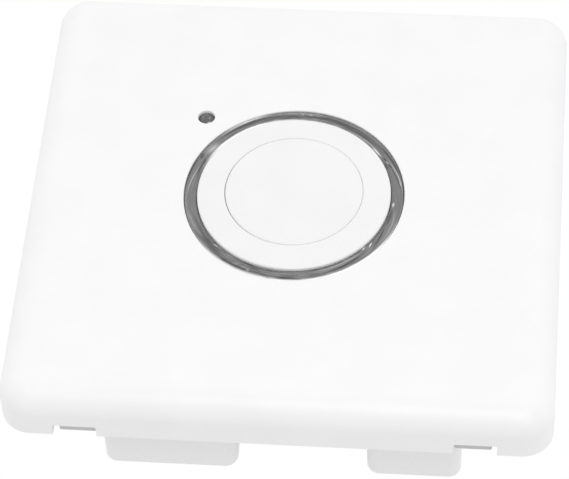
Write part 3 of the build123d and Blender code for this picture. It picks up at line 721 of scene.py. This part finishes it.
def finish_piece(piece, body, material, node):
    """Smooths a piece by angle, gives it its finish and lets it ride in place of a CAD node."""
    only(piece)
    bpy.ops.object.shade_smooth_by_angle(angle=radians(SMOOTH_ANGLE))
    weighted = piece.modifiers.new("weighted", "WEIGHTED_NORMAL")
    weighted.keep_sharp = True
    bpy.ops.object.modifier_apply(modifier=weighted.name)
    piece.data.materials.clear()
    piece.data.materials.append(material)
    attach(piece, body)
    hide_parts(node)


def box_mm(node):
    """A node's lowest and highest corners in millimetres."""
    low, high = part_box(node)
    return low / MM, high / MM


cover_low, cover_high = box_mm("front_cover")
FRONT_Y = cover_low.y
RIM_Y = cover_high.y
HALF_SIDE = cover_high.x
INNER_Y = FRONT_Y + FRONT_WALL


def dome_y(radius):
    """Depth of the button's domed face at a distance from its centre."""
    return FRONT_Y - DOME_RISE + DOME_RADIUS - (DOME_RADIUS**2 - radius**2) ** 0.5


def steps_between(first, last, count):
    """Evenly spaced values from first to last."""
    return [first + (last - first) * n / (count - 1) for n in range(count)]


def dome_points(inner, outer, count):
    """Points of the domed face's profile between two radii."""
    return [(radius, dome_y(radius)) for radius in steps_between(inner, outer, count)]


def crown_points(middle, half, top, rise, first, count):
    """Points of a crowned top's profile, from a first offset to its outer edge."""
    sphere = (half**2 + rise**2) / (2 * rise)
    offsets = steps_between(first, half, count)
    return [(middle + d, top + sphere - (sphere**2 - d**2) ** 0.5) for d in offsets]


def on_circle(radius, count, first):
    """Evenly spaced places of X and Z on a circle, from a first angle in degrees."""
    turns = [radians(first + 360 * n / count) for n in range(count)]
    return [(radius * cos(turn), radius * sin(turn)) for turn in turns]


def make_cover():
    """Moulded cover: a rounded plate with a shell behind it, holes, notches, hooks and screw posts."""
    half, inside = HALF_SIDE, HALF_SIDE - COVER_WALL
    cover = cuboid("cover_plate", (-half, FRONT_Y, -half), (half, RIM_Y, half))
    edit(cover)
    pick(cover, "FACE", lambda face: face.normal.y > 0.9)
    bpy.ops.mesh.inset(thickness=COVER_WALL * MM)
    bpy.ops.mesh.extrude_region_move(TRANSFORM_OT_translate={"value": (0, (INNER_Y - RIM_Y) * MM, 0)})
    on_all(bpy.ops.mesh.remove_doubles, threshold=SAME_POINT)

    def upright(side):
        """A test for the edges along Y at the corners of a square."""

        def test(one, other):
            at_corner = all(near(abs(v), side) for v in (one.x, one.z, other.x, other.z))
            return at_corner and not near(one.y, other.y)

        return test

    bevel_edges(cover, COVER_CORNER, CORNER_STEPS, upright(half))
    bevel_edges(cover, COVER_CORNER - COVER_WALL, CORNER_STEPS, upright(inside))
    round_level(cover, FRONT_ROUNDING, FRONT_STEPS, FRONT_Y)
    round_level(cover, FRONT_ROUNDING - COVER_WALL, INSIDE_STEPS, INNER_Y)
    bpy.ops.object.mode_set(mode="OBJECT")

    depths = (FRONT_Y - CUT_PAST, INNER_Y + CUT_PAST)
    cutters = [
        cylinder("ring_cutter", (0, 0), RING_HOLE, *depths, sides=192),
        cylinder("indicator_cutter", INDICATOR_PLACE, INDICATOR_HOLE, *depths, sides=48),
    ]
    notch_top = RIM_Y - NOTCH_HEIGHT
    for middle in (-NOTCH_OFFSET, NOTCH_OFFSET):
        low = (middle - NOTCH_WIDTH / 2, notch_top, -half - CUT_PAST)
        high = (middle + NOTCH_WIDTH / 2, RIM_Y + CUT_PAST, -inside + CUT_PAST / 2)
        notch = cuboid("notch_cutter", low, high)
        edit(notch)
        round_level(notch, NOTCH_ROUNDING, NOTCH_STEPS, notch_top)
        cutters.append(notch)
    boolean(cover, "DIFFERENCE", *cutters)

    for x in (-HOOK_OFFSET, HOOK_OFFSET):
        for side in (-1, 1):
            boolean(cover, "UNION", make_hook(x, side, inside))
    for x in (-POST_PLACE[0], POST_PLACE[0]):
        for z in (-POST_PLACE[1], POST_PLACE[1]):
            post = cylinder("post", (x, z), POST_RADIUS, INNER_Y - JOINED, POST_BACK, sides=48)
            boolean(cover, "UNION", post)
            bore = cylinder("bore", (x, z), POST_BORE, INNER_Y, POST_BACK + CUT_PAST, sides=32)
            boolean(cover, "DIFFERENCE", bore)

    edit(cover)
    round_circle(cover, RING_HOLE, FRONT_Y, HOLE_ROUNDING)
    round_circle(cover, INDICATOR_HOLE, FRONT_Y, HOLE_ROUNDING, INDICATOR_PLACE)
    finish_piece(cover, "switch", finishes["white_moulding"], "front_cover")


def make_hook(x, side, inside):
    """One snap hook on the inside of the cover's lower or upper wall, with a ramp at its back."""
    back = HOOK_FRONT + HOOK_LAND + HOOK_RAMP
    z_wall, z_tip = side * (inside + JOINED), side * (inside - HOOK_REACH)
    low = (x - HOOK_WIDTH / 2, HOOK_FRONT, min(z_wall, z_tip))
    high = (x + HOOK_WIDTH / 2, back, max(z_wall, z_tip))
    hook = cuboid("hook", low, high)
    edit(hook)
    bevel_edges(
        hook,
        HOOK_RAMP,
        1,
        lambda *ends: all(near(end.y, back) and near(end.z, z_tip) for end in ends),
    )
    bpy.ops.object.mode_set(mode="OBJECT")
    return hook


def make_pad():
    """Domed centre pad with its skirt, stop lip and stem."""
    corner = box_mm("touch_pad")[1]
    lip_front = dome_y(BEZEL_BORE) + PAD_LIP_DROP
    lip_back = lip_front + PAD_LIP
    inside, under = PAD_RADIUS - PAD_WALL, dome_y(0) + PAD_SKIN
    outline = dome_points(0, PAD_RADIUS, PAD_POINTS) + [
        (PAD_RADIUS, lip_front),
        (corner.x, lip_front),
        (corner.x, lip_back),
        (inside, lip_back),
        (inside, under),
        (PAD_STEM, under),
        (PAD_STEM, corner.y),
        (0, corner.y),
    ]
    pad = lathe("touch_pad_cap", outline, closed=False)
    edit(pad)
    round_circle(pad, PAD_RADIUS, dome_y(PAD_RADIUS), BUTTON_ROUNDING)
    on_all(bpy.ops.transform.translate, value=(PAD_PLAY * MM, 0, 0))
    finish_piece(pad, "pad", button_white, "touch_pad")


def make_bezel():
    """Domed bezel with its skirt and the pegs that stand in the board."""
    skirt, under = BEZEL_RADIUS - BEZEL_WALL, dome_y(BEZEL_BORE) + BEZEL_SKIN
    outline = dome_points(BEZEL_BORE, BEZEL_RADIUS, BEZEL_POINTS) + [
        (BEZEL_RADIUS, BEZEL_FOOT),
        (skirt, BEZEL_FOOT),
        (skirt, under),
        (BEZEL_BORE, under),
    ]
    bezel = lathe("bezel_dome", outline)
    edit(bezel)
    for radius in (BEZEL_RADIUS, BEZEL_BORE):
        round_circle(bezel, radius, dome_y(radius), BUTTON_ROUNDING)
    bpy.ops.object.mode_set(mode="OBJECT")
    peg_end = box_mm("button_bezel")[1].y
    for place in on_circle(BEZEL_RADIUS - PEG_INSET, PEG_COUNT, 90):
        peg = cylinder("peg", place, PEG_RADIUS, BEZEL_FOOT - PEG_JOINED, peg_end, sides=24)
        boolean(bezel, "UNION", peg)
    clean_seams(bezel)
    finish_piece(bezel, "switch", button_white, "button_bezel")


def make_ring():
    """Clear ring: a crowned top between two fine steps, on a flange and four feet."""
    corner = box_mm("light_ring")[1]
    middle, half = (RING_INNER + RING_OUTER) / 2, (RING_OUTER - RING_INNER) / 2
    flange_back = INNER_Y + RING_FLANGE
    outline = crown_points(middle, half, FRONT_Y + RING_RECESS, RING_CROWN, -half, RING_POINTS) + [
        (RING_OUTER, INNER_Y),
        (corner.x, INNER_Y),
        (corner.x, flange_back),
        (RING_INNER, flange_back),
    ]
    ring = lathe("clear_light_ring", outline, steps=256)
    for place in on_circle(corner.x - FOOT_INSET, FOOT_COUNT, 0):
        foot = cylinder("foot", place, FOOT_RADIUS, flange_back - PEG_JOINED, corner.y, sides=32)
        boolean(ring, "UNION", foot)
    clean_seams(ring)
    finish_piece(ring, "switch", finishes["clear_ring"], "light_ring")


def make_lens():
    """Light pipe in the indicator's hole: a domed end, a flange behind the cover, a plain end at the lamp."""
    outline = crown_points(0, LENS_RADIUS, FRONT_Y + LENS_RECESS, LENS_CROWN, 0, LENS_POINTS) + [
        (LENS_RADIUS, INNER_Y),
        (LENS_FLANGE_RADIUS, INNER_Y),
        (LENS_FLANGE_RADIUS, INNER_Y + LENS_FLANGE),
        (LENS_RADIUS, INNER_Y + LENS_FLANGE),
        (LENS_RADIUS, LENS_END),
        (0, LENS_END),
    ]
    lens = lathe("indicator_light_pipe", outline, closed=False, steps=64)
    edit(lens)
    place = Vector((INDICATOR_PLACE[0], 0, INDICATOR_PLACE[1])) * MM
    on_all(bpy.ops.transform.translate, value=place)
    finish_piece(lens, "switch", finishes["smoked_lens"], "indicator_lens")


make_cover()
make_pad()
make_bezel()
make_ring()
make_lens()


def make_floor():
    """Plain pale floor, far below the plate."""
    bpy.ops.mesh.primitive_plane_add(size=FLOOR_SIZE, location=(0, 0, -FLOOR_DROP))
    floor = bpy.context.object
    floor.name = "floor"
    # Matt paint: pale and even, with no relief
    floor.data.materials.append(fine_grained("pale_floor_paint", "#dedede", "#e0e0e0", 0.8, 40, 0.0))


def make_camera():
    """Camera at the photograph's place, below the plate."""
    azimuth, elevation, roll = map(radians, (CAMERA_AZIMUTH, CAMERA_ELEVATION, CAMERA_ROLL))
    back = Vector((sin(azimuth) * cos(elevation), -cos(azimuth) * cos(elevation), sin(elevation)))
    level_right = Vector((0, 0, 1)).cross(back).normalized()
    level_up = back.cross(level_right)
    right = level_right * cos(roll) + level_up * sin(roll)
    up = level_up * cos(roll) - level_right * sin(roll)
    data = bpy.data.cameras.new("camera")
    data.lens = CAMERA_LENS
    data.sensor_width = SENSOR_WIDTH
    data.sensor_fit = "HORIZONTAL"
    data.clip_start = CLIP_NEAR
    data.clip_end = CLIP_FAR
    camera = bpy.data.objects.new("camera", data)
    bpy.context.scene.collection.objects.link(camera)
    turn = Matrix((right, up, back)).transposed().to_4x4()
    camera.matrix_world = Matrix.Translation(CAMERA_AIM + back * CAMERA_DISTANCE) @ turn
    bpy.context.scene.camera = camera


def make_light():
    """White studio surround, with a soft square key light low in front of the plate."""
    world = bpy.data.worlds.new("studio")
    world.use_nodes = True
    background = world.node_tree.nodes["Background"].inputs
    background["Color"].default_value = (1, 1, 1, 1)
    background["Strength"].default_value = STUDIO_STRENGTH
    bpy.context.scene.world = world
    data = bpy.data.lights.new("key", "AREA")
    data.size = KEY_SIZE
    data.energy = KEY_POWER
    lamp = bpy.data.objects.new("key", data)
    lamp.location = KEY_PLACE
    lamp.rotation_euler = (-Vector(KEY_PLACE)).to_track_quat("-Z", "Y").to_euler()
    bpy.context.scene.collection.objects.link(lamp)


make_floor()
make_camera()
make_light()
bpy.context.scene.view_settings.view_transform = "Standard"
